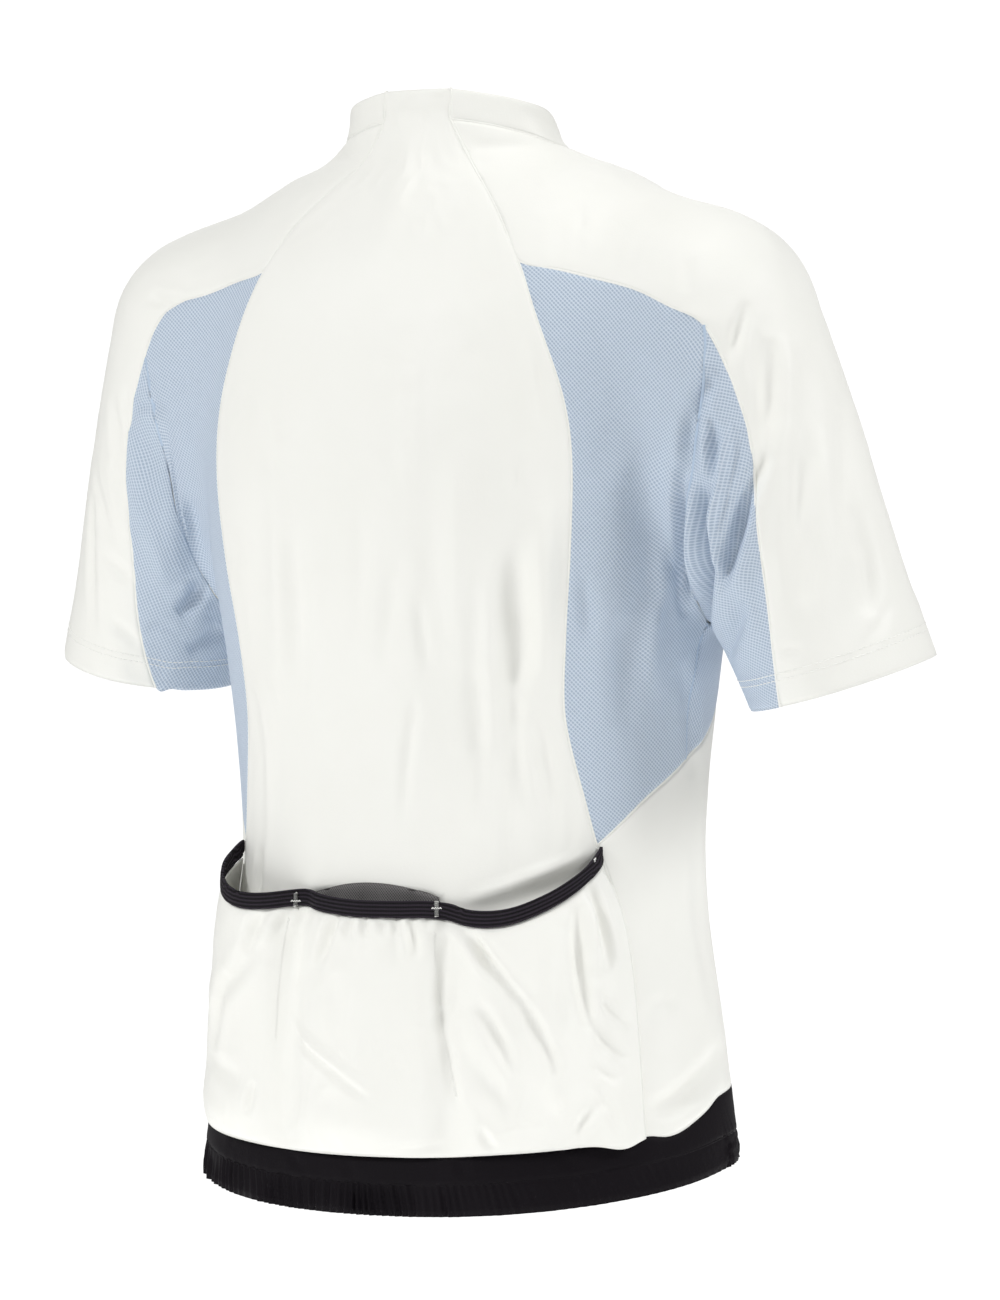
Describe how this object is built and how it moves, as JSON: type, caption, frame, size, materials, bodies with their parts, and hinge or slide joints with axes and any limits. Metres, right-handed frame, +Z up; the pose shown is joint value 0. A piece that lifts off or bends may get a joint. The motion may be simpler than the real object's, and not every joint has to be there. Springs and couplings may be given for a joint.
{
  "type": "cycling jersey",
  "caption": "Short-sleeved cycling jersey filled out as if worn: white raglan body, blue mesh sides, stand collar, elastic-topped back pockets and a black gripper hem.",
  "frame": {"origin": "middle of the neck opening, where the wearer's neck and shoulders hold the jersey up", "axes": "+Z up, the front faces -Y, the wearer's left is +X"},
  "size_m": [0.6252, 0.2608, 0.7013],
  "materials": {
    "white_knit": "smooth white polyester knit, slight sheen",
    "blue_mesh": "light blue open birdseye mesh",
    "grey_mesh": "dark grey sheer mesh",
    "black_elastic": "black ribbed elastic",
    "black_knit": "black knit, gathered over elastic",
    "white_tape": "white woven zip tape with nylon teeth",
    "zip_metal": "satin cast metal"
  },
  "bodies": {
    "garment": {"back_panel": "white_knit", "front_panel": "white_knit", "raglan_sleeve_left": "white_knit", "raglan_sleeve_right": "white_knit", "collar_left": "white_knit", "collar_right": "white_knit", "pocket_panel": "white_knit", "side_back_left": "blue_mesh", "side_back_right": "blue_mesh", "side_front_left": "blue_mesh", "side_front_right": "blue_mesh", "sleeve_under_left": "blue_mesh", "sleeve_under_right": "blue_mesh", "pocket_lining": "grey_mesh", "pocket_binding": "black_elastic", "hem_band": "black_knit", "hem_casing": "black_knit", "zip_tape": "white_tape", "zip_slider": "zip_metal"},
    "pull_tab": {"zip_pull": "zip_metal"}
  },
  "joints": [
    {"name": "pull_tab_hinge", "type": "hinge", "parent": "garment", "child": "pull_tab", "pos_m": [0, -0.03942, -0.02438], "axis": [-1, 0, 0], "range_deg": [0, 150]}
  ]
}
